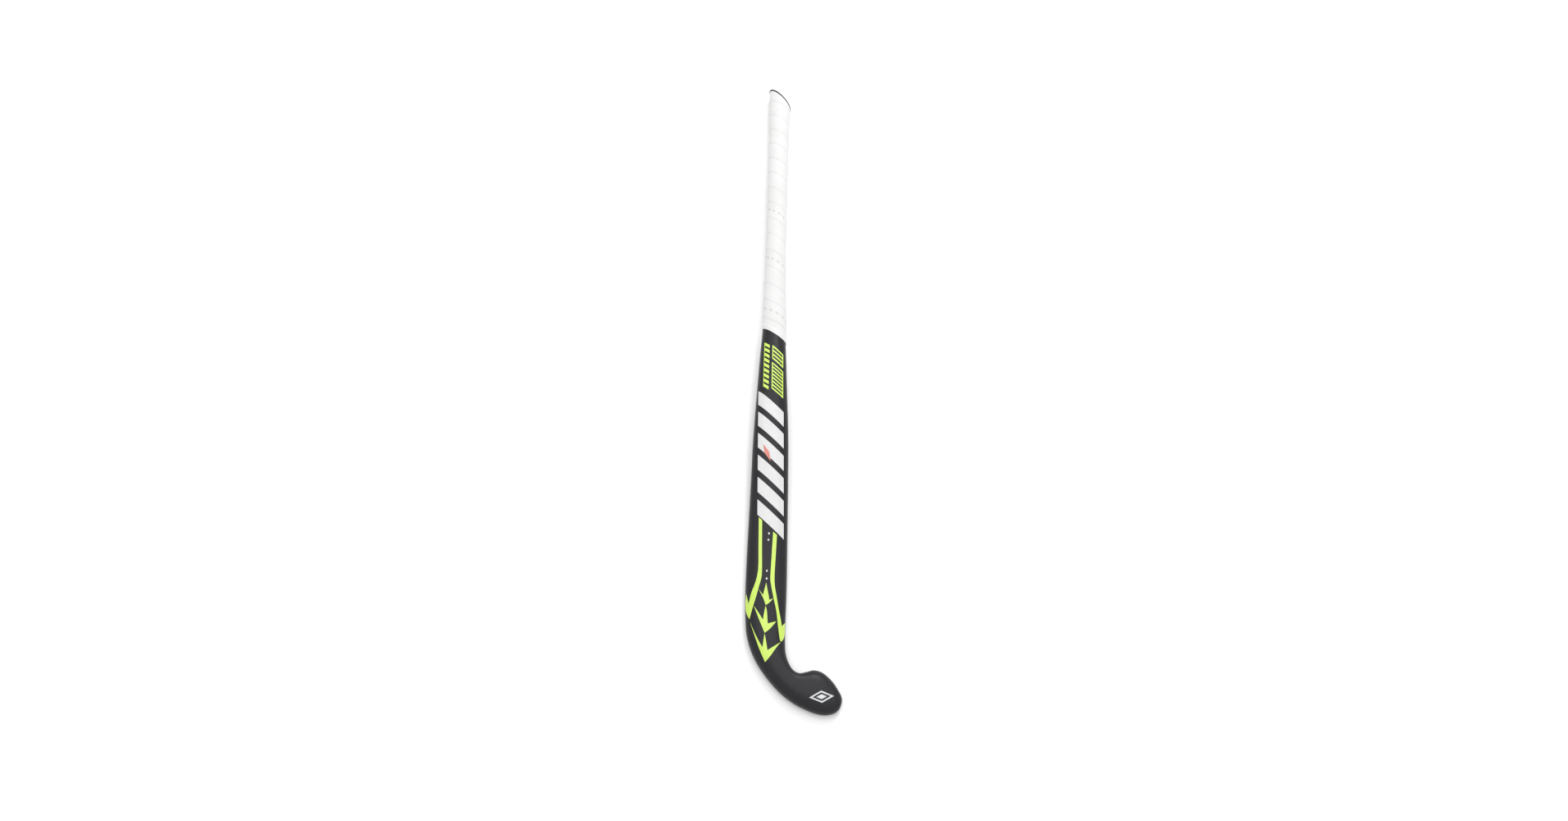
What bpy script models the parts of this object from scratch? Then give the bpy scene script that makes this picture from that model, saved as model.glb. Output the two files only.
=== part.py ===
"""Adult field hockey stick, modelled lying on its flat playing face with the rounded back up.

In the stick's own frame X runs across the shaft towards the toe, Y runs up the shaft from the sole
of the head to the butt, and Z runs from the playing face to the back. X = 0 is the middle of the
shaft and Z = 0 is the playing face. The empty stick_frame carries every piece and puts the origin
at the bottom centre of the whole stick.
"""

import math

import bmesh
import bpy
from mathutils import Vector

MM = 0.001

# Driving dimensions, in metres.
SOLE_TO_BUTT = 901 * MM  # centre of the slanted butt cut
BOW = 19 * MM  # rise of the face line at the middle of the shaft
BUTT_LIFT = 4.2 * MM  # rise of the face line at the butt, which leaves room for the grip
FLAT_HEAD = 105 * MM  # the face is one plane up to here
BOW_BLEND = 330 * MM  # and reaches the full bow this much further up
FACE_CORNER = 6 * MM  # edge radius between the face and the sides
BUTT_SLANT = 1.05  # drop of the butt cut towards the toe side, per unit across
FOOT_SLANT = 0.65  # the same for the grip's lower edge

GAP = 0.3 * MM  # between pieces that touch
SHELL_WALL = 2 * MM
SLEEVE_WALL = 1 * MM
CHAMBER_WALL = 1 * MM
UNDERLAY = 0.9 * MM
WRAP = 1.6 * MM
TAPE = 0.7 * MM
FILM = 0.2 * MM

CHAMBER_FOOT = 158 * MM  # where the two hollow chambers start above the head
CHAMBER_SUNK = 16 * MM  # how far the chambers end below the butt cut
PLUG_SUNK = 2 * MM  # how far each plug ends inside its chamber
PLUG_DEPTH = 90 * MM
SLEEVE_TOP = 150 * MM
SQUARE_FROM = 22 * MM  # the skin's rings turn square to the shaft this far below the butt cut
GRIP_FOOT = 486 * MM  # centre of the grip's slanted lower edge
UNDERLAY_FOOT = 548 * MM  # the underlay stops here, and the tape goes on down alone
TAPER_TOP = 580 * MM  # the grip thins out from here down to its foot
TAPERED = 2.2 * MM  # how much thinner it is at the foot
TAPE_WIDTH = 5 * MM
CAP_SKIRT = 8 * MM
CAP_RIM = 2.2 * MM
CAP_LIP = 0.3 * MM  # how far the cap's rim stands out beyond the grip
CAP_RISE = 3.2 * MM
CAP_PLUG = 1 * MM  # how far the cap's base stays clear inside the skin's wall
CAP_DOME = (25, 50, 70)  # degrees of the rings that round the cap's top
# Heights of the grip's rings above the sole, in millimetres: over the underlay, then below it.
CUSHIONED_HEIGHTS = (860, 838, 780, 700, 620, 585)
BARE_HEIGHTS = (545, 530, 510)

# Straight shaft: height above the sole, reach to the heel side and to the toe side, depth,
# roundness (0 is a D, 1 is an oval).
SHAFT_SECTIONS = (
    (930, 13.9, 12.8, 26.4, 1.0),
    (900, 14.0, 12.9, 26.4, 1.0),
    (872, 13.6, 12.7, 25.8, 1.0),
    (845, 12.7, 11.9, 24.6, 1.0),
    (780, 12.3, 11.5, 23.8, 1.0),
    (700, 12.0, 11.3, 23.2, 1.0),
    (600, 11.8, 11.4, 23.2, 1.0),
    (555, 12.6, 12.4, 23.6, 0.9),
    (520, 14.3, 14.4, 23.8, 0.8),
    (490, 15.5, 15.8, 23.8, 0.68),
    (460, 17.2, 17.4, 23.6, 0.55),
    (427, 18.9, 18.9, 23.4, 0.42),
    (400, 20.2, 20.2, 23.2, 0.3),
    (370, 21.7, 21.7, 23.0, 0.2),
    (335, 23.1, 22.9, 22.8, 0.12),
    (290, 24.0, 23.5, 22.6, 0.05),
    (240, 25.1, 23.9, 22.4, 0.0),
    (190, 26.2, 24.2, 22.2, 0.0),
    (140, 26.4, 24.2, 22.0, 0.0),
)
# Hook: heel-side edge x and y, toe-side edge x and y, depth, how far the crest leans towards the
# throat, and how far the face side lifts to round off the toe.
HOOK_SECTIONS = (
    (-25.4, 112, 23.7, 114, 21.8, 0.0, 0.0),
    (-23.1, 92, 23.4, 96, 21.6, 0.05, 0.0),
    (-18.0, 75, 23.7, 83, 21.4, 0.1, 0.0),
    (-11.2, 61, 24.6, 72, 21.4, 0.16, 0.0),
    (-2.4, 48, 27.3, 62.6, 21.4, 0.22, 0.0),
    (8.5, 35, 30.8, 55.6, 21.4, 0.25, 0.0),
    (21.0, 23, 35.4, 50.6, 21.4, 0.25, 0.0),
    (35.0, 13.3, 42.0, 48.3, 21.4, 0.22, 0.0),
    (49.0, 6.6, 49.6, 50.0, 21.2, 0.16, 0.0),
    (61.0, 2.5, 58.4, 52.2, 20.8, 0.1, 0.0),
    (71.3, 1.1, 67.6, 50.2, 20.2, 0.05, 0.0),
    (79.8, 2.3, 75.6, 44.6, 19.2, 0.0, 0.0),
    (86.2, 5.6, 82.2, 37.6, 17.2, 0.0, 0.8),
    (89.9, 10.4, 87.2, 30.0, 13.2, 0.0, 2.8),
    (91.5, 15.5, 90.5, 24.0, 7.2, 0.0, 5.6),
    (91.9, 18.4, 91.6, 21.2, 2.6, 0.0, 7.8),
)
# Rows of the head's rings: where they start before the first row, the gap between them, and how
# many rows before the tip the skin's hollow and the sleeve stop.
HEAD_LEAD, HEAD_GAP = 0.4, 0.7
HOLLOW_STOP, SLEEVE_STOP = 2.3, 3.0
# Facets of a section: over the back, round each face corner, and across the face.
COARSE = (12, 3, 2)
FINE = (48, 8, 2)

# Printed film, in millimetres from the middle of the shaft and above the sole.
BAR_COUNT = 6
BAR_LEFT, BAR_RIGHT = -17.6, 15.2
BAR_TOP = 403.5  # upper left corner of the first bar
BAR_PITCH = 29.1
BAR_DEPTH = 19.6
BAR_DROP = 30  # how much lower a bar is at its right end
BAR_DRIFT = 0.021  # how far the bars shift towards the toe per unit down the shaft
STRIPE_HEEL_SIDE = (
    (-12.2, 235), (-11.5, 199), (-11.0, 174), (-12.3, 161), (-15.0, 151), (-18.7, 141),
    (-21.6, 128), (-24.6, 141), (-25.0, 131), (-24.6, 121.5), (-22.8, 114.6), (-19.8, 109.4),
    (-18.2, 116), (-15.8, 125.3), (-13.3, 134), (-10.0, 147), (-7.0, 159), (-6.5, 170),
    (-7.3, 199), (-8.0, 231),
)
STRIPE_TOE_SIDE = (
    (6.2, 217), (4.9, 186), (4.2, 166), (4.4, 155), (7.9, 138), (12.1, 120), (14.7, 102),
    (17.2, 86), (18.9, 83.3), (21.4, 87), (22.8, 94), (22.9, 106.5), (19.2, 102), (17.8, 109.6),
    (14.9, 123), (12.0, 138), (9.9, 148.7), (9.1, 159), (9.3, 172), (9.9, 187), (10.8, 213),
)
CHEVRONS = (
    ((-0.8, 153.7), (-2.0, 148), (-4.4, 138.2), (-9.9, 145.8), (-3.6, 133.8), (-0.7, 127),
     (3.4, 129), (8.2, 134.4), (3.4, 132.5), (2.6, 138)),
    ((-0.7, 125.4), (-1.8, 120), (-3.6, 108.5), (-9.0, 116.8), (-15.1, 125.4), (-10.6, 114.6),
     (-5.0, 101.6), (-1.0, 93.6), (5.4, 98.2), (12.4, 107), (2.3, 104), (1.6, 112)),
    ((-1.0, 92), (-2.1, 85), (-3.1, 76), (-8.4, 84.4), (-14.2, 95.6), (-19.2, 106.4),
     (-12.9, 89.6), (-6.8, 74), (0.4, 58.9), (6.4, 65.8), (13.0, 75.6), (18.2, 82.4), (10.4, 77.4),
     (2.8, 72.5), (1.5, 80)),
)
COMB_TOP, COMB_FOOT = (-11.6, 473.0), (-11.6, 413.0)  # left ends of the first and the last tooth
COMB_TEETH = 9
COMB_REACH, COMB_DROP, TOOTH_DEPTH = 7.2, 5.2, 4.4
COMB_SPINE = 0.6
LADDERS = {
    "ladder_upper": (((-0.8, 468.0), (13.6, 455.5), (13.9, 435.5), (-0.7, 448.0)), 4),
    "ladder_lower": (((-0.9, 443.0), (14.0, 430.5), (14.8, 392.5), (-0.5, 405.0)), 8),
}
LADDER_RAIL = 1.5
RUNG_SHARE = 0.85  # thickness of a rung against the opening beside it
BADGE_MIDDLE = (67.4, 20.6)
BADGE_HALF_LENGTH, BADGE_HALF_HEIGHT = 14.6, 6.8
BADGE_OPENING = 0.72  # size of the opening against the outer edge
BADGE_TURN = 5  # degrees
ACCENT_MIDDLE = (-4.2, 318.2)  # a small lozenge over the third and fourth bars
ACCENT_HALF_LENGTH, ACCENT_HALF_HEIGHT, ACCENT_TURN = 12.5, 3.0, -66
# Where the flat film is creased to bend over the back: closer where the back turns down.
FILM_CREASES = (
    -24.2, -23.2, -21.6, -19.8, -17, -13, -8, -3, 2, 7, 12, 15, 18, 20.6, 22.2, 58, 63, 68, 73, 78
)
FILM_CREASE_ALONG = 14


def all_sections():
    """Every section as heel x, heel y, toe x, toe y, depth, roundness, lean, lift, in metres."""
    rows = []
    for y, heel_reach, toe_reach, depth, roundness in SHAFT_SECTIONS:
        rows.append((-heel_reach, y, toe_reach, y, depth, roundness / MM, 0.0, 0.0))
    for heel_x, heel_y, toe_x, toe_y, depth, lean, lift in HOOK_SECTIONS:
        rows.append((heel_x, heel_y, toe_x, toe_y, depth, 0.0, lean / MM, lift))
    return [Vector(row) * MM for row in rows]


SECTIONS = all_sections()
LAST = len(SECTIONS) - 1
HOOK_START = len(SHAFT_SECTIONS)


def middle_distance(first, second):
    across = (first[0] + first[2] - second[0] - second[2]) / 2
    along = (first[1] + first[3] - second[1] - second[3]) / 2
    return math.hypot(across, along)


def section(place):
    """The section at a place counted in rows of SECTIONS, on a smooth curve through all of them."""
    start = min(max(int(place), 0), LAST - 1)
    part = place - start
    here, after = SECTIONS[start], SECTIONS[start + 1]
    before = SECTIONS[start - 1] if start > 0 else here * 2 - after
    beyond = SECTIONS[start + 2] if start + 2 <= LAST else after * 2 - here
    span_before = middle_distance(before, here)
    span = middle_distance(here, after)
    span_beyond = middle_distance(after, beyond)
    leave = ((here - before) / span_before * span + (after - here) / span * span_before)
    leave *= span / (span_before + span)
    arrive = ((after - here) / span * span_beyond + (beyond - after) / span_beyond * span)
    arrive *= span / (span + span_beyond)
    square, cube = part * part, part * part * part
    return (
        here * (2 * cube - 3 * square + 1)
        + leave * (cube - 2 * square + part)
        + after * (3 * square - 2 * cube)
        + arrive * (cube - square)
    )


def place_at(height):
    """The place on the straight shaft whose section is this far above the sole."""
    low, high = 0.0, float(HOOK_START - 1)
    for _ in range(40):
        middle = (low + high) / 2
        if section(middle)[1] > height:
            low = middle
        else:
            high = middle
    return (low + high) / 2


def face_line(height):
    """Height of the face above the floor: a flat head, then a smooth bow up to the butt."""
    share = height / SOLE_TO_BUTT
    blend = min(max((height - FLAT_HEAD) / BOW_BLEND, 0.0), 1.0)
    blend = blend * blend * (3 - 2 * blend)
    return (BOW * 4 * share * (1 - share) + BUTT_LIFT * share) * blend


def profile(half, depth, roundness, lean, steps):
    """Outline of a section as (across, up): back, heel-side corner, face, toe-side corner."""
    back_steps, corner_steps, face_steps = steps
    roundness = min(max(roundness, 0.0), 1.0)
    radius = FACE_CORNER * (1 - roundness) + 0.82 * half * roundness
    radius = min(radius, 0.9 * half)
    waist = depth * (0.36 * (1 - roundness) + 0.5 * roundness)
    power = 2 / (2.4 * (1 - roundness) + 2.0 * roundness)
    outline = []
    for step in range(back_steps):
        angle = math.pi * step / back_steps
        across = math.copysign(abs(math.cos(angle)) ** power, math.cos(angle))
        up = math.sin(angle) ** power
        outline.append((half * (across + lean * up * up), waist + (depth - waist) * up))
    for step in range(corner_steps):
        angle = math.pi / 2 * step / corner_steps
        outline.append((radius - half - radius * math.cos(angle), waist * (1 - math.sin(angle))))
    for step in range(face_steps):
        outline.append(((half - radius) * (2 * step / face_steps - 1), 0.0))
    for step in range(corner_steps):
        angle = math.pi / 2 * step / corner_steps
        outline.append((half - radius + radius * math.sin(angle), waist * (1 - math.cos(angle))))
    return outline


def layer_profile(row, layer, steps=COARSE):
    """The profile of a section grown outwards by layer, or shrunk where layer is negative."""
    half = math.hypot(row[2] - row[0], row[3] - row[1]) / 2
    outline = profile(half + layer, row[4] + 2 * layer, row[5], row[6], steps)
    return [(across, up - layer + max(row[7], 0.0)) for across, up in outline]


def laid(row, across, up):
    """A section's point in the stick's frame, raised onto the bowed face line."""
    heel, toe = Vector(row[0:2]), Vector(row[2:4])
    spot = (heel + toe) / 2 + (toe - heel).normalized() * across
    return Vector((spot.x, spot.y, up + face_line(spot.y)))


def ring(place, layer=0.0, steps=COARSE):
    """One closed ring of points around the stick, square to its run."""
    row = section(place)
    return [laid(row, across, up) for across, up in layer_profile(row, layer, steps)]


def slanted_ring(height, layer=0.0):
    """A ring around the handle in a plane that drops towards the toe side, most at the butt."""
    share = (height - GRIP_FOOT) / (SOLE_TO_BUTT - GRIP_FOOT)
    slant = FOOT_SLANT + (BUTT_SLANT - FOOT_SLANT) * share
    points = []
    for index, (across, _) in enumerate(layer_profile(section(place_at(height)), layer)):
        row = section(place_at(height - slant * across))
        points.append(laid(row, *layer_profile(row, layer)[index]))
    return points


def grip_lift(height):
    """How far the grip's outer surface is above the handle: full thickness, then a thin foot."""
    thinned = min(max((TAPER_TOP - height) / (TAPER_TOP - GRIP_FOOT), 0.0), 1.0)
    return GAP + UNDERLAY + GAP + WRAP - TAPERED * thinned**2


def half_ring(place, layer, side, clear):
    """The part of a ring on one side of the web: side is -1 towards the heel, 1 towards the toe."""
    row = section(place)
    outline = layer_profile(row, layer)
    crest = COARSE[0] // 2
    seam = COARSE[0] + COARSE[1] + COARSE[2] // 2
    if side < 0:
        chosen = outline[crest : seam + 1]
    else:
        chosen = outline[seam:] + outline[: crest + 1]
    return [laid(row, side * max(side * across, clear), up) for across, up in chosen]


def mesh_object(name, mesh, material):
    """Links a finished mesh as a piece of the stick, shaded smooth, under the stick's frame."""
    mesh.shade_smooth()
    mesh.set_sharp_from_angle(angle=math.radians(40))
    mesh.materials.append(material)
    piece = bpy.data.objects.new(name, mesh)
    piece.parent = frame
    parts.objects.link(piece)
    return piece


def loft(name, rings, material, looped=False):
    """A solid through rings of equal count: looped joins last to first, otherwise both ends close."""
    shape = bmesh.new()
    rows = [[shape.verts.new(point) for point in points] for points in rings]
    pairs = list(zip(rows, rows[1:]))
    if looped:
        pairs.append((rows[-1], rows[0]))
    for lower, upper in pairs:
        for index in range(len(lower)):
            following = (index + 1) % len(lower)
            shape.faces.new((lower[index], lower[following], upper[following], upper[index]))
    if not looped:
        shape.faces.new(rows[0])
        shape.faces.new(rows[-1])
    bmesh.ops.recalc_face_normals(shape, faces=shape.faces)
    mesh = bpy.data.meshes.new(name)
    shape.to_mesh(mesh)
    shape.free()
    return mesh_object(name, mesh, material)


def sleeve(name, inner, outer, material):
    """An open-ended sleeve between an inner and an outer row of rings."""
    return loft(name, outer + inner[::-1], material, looped=True)


def places_between(first, last, most_gap):
    """Evenly spaced places from first to last, at most most_gap rows apart."""
    count = max(1, math.ceil(abs(last - first) / most_gap))
    return [first + (last - first) * step / count for step in range(count + 1)]


def hook_places(rows_from_tip):
    """The places of the head's rings, shared by its layers so that their facets stay parallel."""
    every = places_between(HOOK_START - HEAD_LEAD, LAST, HEAD_GAP)
    return [place for place in every if place <= LAST - rows_from_tip]


def plastic(name, colour, roughness, metallic=0.0):
    material = bpy.data.materials.new(name)
    material.use_nodes = True
    shader = material.node_tree.nodes["Principled BSDF"]
    shader.inputs["Base Color"].default_value = (*colour, 1.0)
    shader.inputs["Roughness"].default_value = roughness
    shader.inputs["Metallic"].default_value = metallic
    return material


def build_skin_guide():
    """A fine copy of the back's surface, which only shapes the film and is left out of the stick."""
    shape = bmesh.new()
    rows = []
    for place in places_between(place_at(GRIP_FOOT), LAST, 0.2):
        rows.append([shape.verts.new(point) for point in ring(place, 0.0, FINE)[: FINE[0] + 1]])
    for lower, upper in zip(rows, rows[1:]):
        for index in range(FINE[0]):
            shape.faces.new((lower[index], lower[index + 1], upper[index + 1], upper[index]))
    bmesh.ops.recalc_face_normals(shape, faces=shape.faces)
    mesh = bpy.data.meshes.new("skin_guide")
    shape.to_mesh(mesh)
    shape.free()
    guide = bpy.data.objects.new("skin_guide", mesh)
    guide.parent = frame
    guide.hide_render = True
    guide.display_type = "WIRE"
    guides.objects.link(guide)
    return guide


def flat_sheet(outlines):
    """A flat mesh filled between closed outlines in millimetres, the first outer and the rest holes."""
    curve = bpy.data.curves.new("film_outline", "CURVE")
    curve.dimensions = "2D"
    curve.fill_mode = "BOTH"
    for outline in outlines:
        spline = curve.splines.new("POLY")
        spline.points.add(len(outline) - 1)
        spline.use_cyclic_u = True
        for point, (x, y) in zip(spline.points, outline):
            point.co = (x * MM, y * MM, 0.0, 1.0)
    drawn = bpy.data.objects.new("film_outline", curve)
    guides.objects.link(drawn)
    graph = bpy.context.evaluated_depsgraph_get()
    graph.update()
    mesh = bpy.data.meshes.new_from_object(drawn.evaluated_get(graph))
    bpy.data.objects.remove(drawn, do_unlink=True)
    return mesh


def film(name, outlines, material, rise=GAP):
    """A printed film: its flat outline cut into small facets, laid on the back and given a thickness."""
    mesh = flat_sheet(outlines)
    shape = bmesh.new()
    shape.from_mesh(mesh)
    bmesh.ops.remove_doubles(shape, verts=shape.verts, dist=0.00001)
    bmesh.ops.dissolve_limit(
        shape, angle_limit=math.radians(1), verts=shape.verts, edges=shape.edges
    )
    creases = [(Vector((1, 0, 0)), across) for across in FILM_CREASES]
    rows = range(math.ceil(SOLE_TO_BUTT / MM / FILM_CREASE_ALONG))
    creases += [(Vector((0, 1, 0)), row * FILM_CREASE_ALONG) for row in rows]
    for direction, distance in creases:
        bmesh.ops.bisect_plane(
            shape,
            geom=shape.verts[:] + shape.edges[:] + shape.faces[:],
            plane_co=direction * (distance * MM),
            plane_no=direction,
        )
    bmesh.ops.triangulate(shape, faces=shape.faces)
    bmesh.ops.translate(shape, verts=shape.verts, vec=(0.0, 0.0, 100 * MM))
    bmesh.ops.recalc_face_normals(shape, faces=shape.faces)
    if shape.faces[0].normal.z < 0:
        bmesh.ops.reverse_faces(shape, faces=shape.faces)
    shape.to_mesh(mesh)
    shape.free()
    mesh.name = name
    piece = mesh_object(name, mesh, material)
    wrap = piece.modifiers.new("lay_on_back", "SHRINKWRAP")
    wrap.target = skin_guide
    wrap.wrap_method = "PROJECT"
    wrap.wrap_mode = "ABOVE_SURFACE"
    wrap.use_project_z = True
    wrap.use_negative_direction = True
    wrap.use_positive_direction = False
    wrap.offset = rise
    thicken = piece.modifiers.new("film_thickness", "SOLIDIFY")
    thicken.thickness = FILM
    thicken.offset = 1.0
    return piece


def comb():
    """Outline of a narrow column of slanted teeth joined by a thin spine on their left."""
    first, last = Vector(COMB_TOP), Vector(COMB_FOOT)
    reach, drop = Vector((COMB_REACH, -COMB_DROP)), Vector((0.0, -TOOTH_DEPTH))
    spine = reach * (COMB_SPINE / COMB_REACH)
    outline = [first]
    for index in range(COMB_TEETH):
        left = first.lerp(last, index / (COMB_TEETH - 1))
        outline += [left + spine] if index else []
        outline += [left + reach, left + reach + drop]
        outline += [left + spine + drop] if index < COMB_TEETH - 1 else []
    return [*outline, last + drop]


def ladder(corners, rungs):
    """Outlines of a slanted frame with evenly spaced rungs: the outer edge, then each opening."""
    top_left, top_right, low_right, low_left = [Vector(corner) for corner in corners]
    outlines = [corners]
    openings = rungs - 1
    edge = LADDER_RAIL / (top_right - top_left).length
    whole = openings + RUNG_SHARE * rungs
    for index in range(openings):
        start = (index + RUNG_SHARE * (index + 1)) / whole
        end = start + 1 / whole
        opening = []
        for share, side in ((start, edge), (start, 1 - edge), (end, 1 - edge), (end, edge)):
            left = top_left.lerp(low_left, share)
            right = top_right.lerp(low_right, share)
            opening.append(tuple(left.lerp(right, side)))
        outlines.append(opening)
    return outlines


def lozenge(middle, half_length, half_height, turn):
    corners = ((half_length, 0), (0, half_height), (-half_length, 0), (0, -half_height))
    cosine, sine = math.cos(math.radians(turn)), math.sin(math.radians(turn))
    return [
        (middle[0] + x * cosine - y * sine, middle[1] + x * sine + y * cosine)
        for x, y in corners
    ]


def build_film(lime, white, silver, red):
    """Plain printed shapes on the back: bars, stripes, chevrons, a comb, ladders and lozenges."""
    for index in range(BAR_COUNT):
        top = BAR_TOP - index * BAR_PITCH
        corners = [(BAR_LEFT, top), (BAR_RIGHT, top - BAR_DROP)]
        corners += [(x, y - BAR_DEPTH) for x, y in corners[::-1]]
        outline = [(x + BAR_DRIFT * (BAR_TOP - y), y) for x, y in corners]
        film(f"slanted_bar_{index + 1}", [outline], white)
    film("stripe_heel_side", [STRIPE_HEEL_SIDE], lime)
    film("stripe_toe_side", [STRIPE_TOE_SIDE], lime)
    for index, outline in enumerate(CHEVRONS):
        film(f"chevron_{index + 1}", [outline], lime)
    film("comb", [comb()], lime)
    for name, (corners, rungs) in LADDERS.items():
        film(name, ladder(corners, rungs), lime)
    opening = (BADGE_OPENING * BADGE_HALF_LENGTH, BADGE_OPENING * BADGE_HALF_HEIGHT)
    badge = [
        lozenge(BADGE_MIDDLE, BADGE_HALF_LENGTH, BADGE_HALF_HEIGHT, BADGE_TURN),
        lozenge(BADGE_MIDDLE, *opening, BADGE_TURN),
    ]
    film("toe_badge", badge, silver)
    accent = [lozenge(ACCENT_MIDDLE, ACCENT_HALF_LENGTH, ACCENT_HALF_HEIGHT, ACCENT_TURN)]
    film("red_accent", accent, red, rise=GAP + FILM + GAP)


def clear_scene():
    for old in list(bpy.data.objects):
        bpy.data.objects.remove(old, do_unlink=True)


def build_shell(material):
    """The moulded outer skin: closed round the toe, open at the slanted butt cut."""
    butt = slanted_ring(SOLE_TO_BUTT)
    butt_inside = slanted_ring(SOLE_TO_BUTT, -SHELL_WALL)
    straight = places_between(place_at(SOLE_TO_BUTT - SQUARE_FROM), HOOK_START - 1, 1.0)
    outside = [butt] + [ring(place) for place in straight + hook_places(0.0)]
    hollow = hook_places(HOLLOW_STOP)
    inside = [butt_inside] + [ring(place, -SHELL_WALL) for place in straight + hollow]
    loft("outer_shell", inside[::-1] + outside, material)


def build_head_inside(sleeve_material, core_material):
    """The aramid sleeve that backs the head and the foam core that it is moulded around."""
    top = place_at(SLEEVE_TOP)
    hook = hook_places(SLEEVE_STOP)
    outer = -(SHELL_WALL + GAP)
    inner = outer - SLEEVE_WALL
    outside = [ring(place, outer) for place in [top] + hook]
    inside = [ring(place, inner) for place in [top] + hook[:-1]]
    loft("head_sleeve", inside[::-1] + outside, sleeve_material)
    core = [ring(place, inner - GAP) for place in [top] + hook[:-2]]
    loft("head_core", core, core_material)


def build_chambers(tube_material, foam_material):
    """Two moulded tubes side by side, whose meeting walls are the web, and a foam plug in each."""
    top = SOLE_TO_BUTT - CHAMBER_SUNK
    run = places_between(place_at(top), place_at(CHAMBER_FOOT), 1.0)
    plug = places_between(place_at(top - PLUG_SUNK), place_at(top - PLUG_DEPTH), 1.0)
    outer = -(SHELL_WALL + GAP)
    inner = outer - CHAMBER_WALL
    for side, word in ((-1, "heel"), (1, "toe")):
        clear = GAP / 2
        outside = [half_ring(place, outer, side, clear) for place in run]
        clear += CHAMBER_WALL
        inside = [half_ring(place, inner, side, clear) for place in run]
        sleeve(f"chamber_tube_{word}_side", inside, outside, tube_material)
        clear += GAP
        filling = [half_ring(place, inner - GAP, side, clear) for place in plug]
        loft(f"handle_plug_{word}_side", filling, foam_material)


def build_cap(material):
    """A domed rubber cap: its skirt hugs the end of the handle under the grip."""
    skirt_in = GAP
    skirt_out = GAP + UNDERLAY
    rim = GAP + UNDERLAY + GAP + WRAP + CAP_LIP
    seat = SOLE_TO_BUTT + GAP
    base = slanted_ring(seat + GAP + CAP_RIM, rim)
    centre = sum(base, Vector()) / len(base)
    rings = [
        slanted_ring(seat, -SHELL_WALL - CAP_PLUG),
        slanted_ring(seat, skirt_in),
        slanted_ring(seat - CAP_SKIRT, skirt_in),
        slanted_ring(seat - CAP_SKIRT, skirt_out),
        slanted_ring(seat + GAP, skirt_out),
        slanted_ring(seat + GAP, rim),
        base,
    ]
    for angle in CAP_DOME:
        shrink, rise = math.cos(math.radians(angle)), math.sin(math.radians(angle))
        lift = Vector((0.0, CAP_RISE * rise, 0.0))
        rings.append([centre + (point - centre) * shrink + lift for point in base])
    loft("butt_cap", rings, material)


def build_grip(underlay_material, wrap_material, tape_material):
    """Cushion underlay, the wound grip tape over it, and the narrow band that closes its foot."""
    heights = [height * MM for height in CUSHIONED_HEIGHTS]
    under_heights = [SOLE_TO_BUTT - CAP_SKIRT] + heights + [UNDERLAY_FOOT]
    inside = [slanted_ring(height, GAP) for height in under_heights]
    outside = [slanted_ring(height, GAP + UNDERLAY) for height in under_heights]
    sleeve("grip_underlay", inside, outside, underlay_material)
    seat = GAP + UNDERLAY + GAP
    edge = GRIP_FOOT + TAPE_WIDTH + GAP
    bare = [height * MM for height in BARE_HEIGHTS] + [edge]
    inside = [slanted_ring(height, seat) for height in [SOLE_TO_BUTT] + heights]
    inside += [slanted_ring(UNDERLAY_FOOT - GAP, seat)]
    inside += [slanted_ring(height, GAP) for height in bare]
    wrapped = [SOLE_TO_BUTT] + heights + [UNDERLAY_FOOT] + bare
    outside = [slanted_ring(height, grip_lift(height)) for height in wrapped]
    sleeve("grip_wrap", inside, outside, wrap_material)
    band = [slanted_ring(GRIP_FOOT + step, GAP) for step in (TAPE_WIDTH, 0.0)]
    cover = [slanted_ring(GRIP_FOOT + step, GAP + TAPE) for step in (TAPE_WIDTH, 0.0)]
    sleeve("finishing_tape", band, cover, tape_material)


def centre_frame():
    """Moves the stick's frame so that the world's origin is the bottom centre of the whole stick."""
    bpy.context.view_layer.update()
    corners = []
    for name in ("outer_shell", "butt_cap", "grip_wrap"):
        piece = bpy.data.objects[name]
        corners += [piece.matrix_world @ Vector(corner) for corner in piece.bound_box]
    low = [min(corner[axis] for corner in corners) for axis in range(3)]
    high = [max(corner[axis] for corner in corners) for axis in range(3)]
    frame.location -= Vector(((low[0] + high[0]) / 2, (low[1] + high[1]) / 2, low[2]))


clear_scene()
parts = bpy.data.collections.new("field_hockey_stick")
bpy.context.scene.collection.children.link(parts)
guides = bpy.data.collections.new("guides")
bpy.context.scene.collection.children.link(guides)
frame = bpy.data.objects.new("stick_frame", None)
parts.objects.link(frame)

composite = plastic("composite", (0.045, 0.045, 0.05), 0.38)
aramid = plastic("aramid", (0.62, 0.5, 0.16), 0.7)
carbon = plastic("carbon", (0.03, 0.03, 0.032), 0.5)
foam = plastic("foam", (0.72, 0.68, 0.55), 0.9)
rubber = plastic("rubber", (0.012, 0.012, 0.013), 0.6)
cushion = plastic("cushion", (0.6, 0.6, 0.6), 0.9)
grip_white = plastic("grip_white", (0.93, 0.93, 0.91), 0.62)
lime_print = plastic("lime_print", (0.7, 0.92, 0.16), 0.4)
white_print = plastic("white_print", (0.88, 0.88, 0.88), 0.4)
silver_print = plastic("silver_print", (0.75, 0.76, 0.78), 0.35)
red_print = plastic("red_print", (0.7, 0.22, 0.18), 0.4)

build_shell(composite)
build_head_inside(aramid, foam)
build_chambers(carbon, foam)
build_cap(rubber)
build_grip(cushion, grip_white, grip_white)
skin_guide = build_skin_guide()
build_film(lime_print, white_print, silver_print, red_print)
centre_frame()
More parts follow.
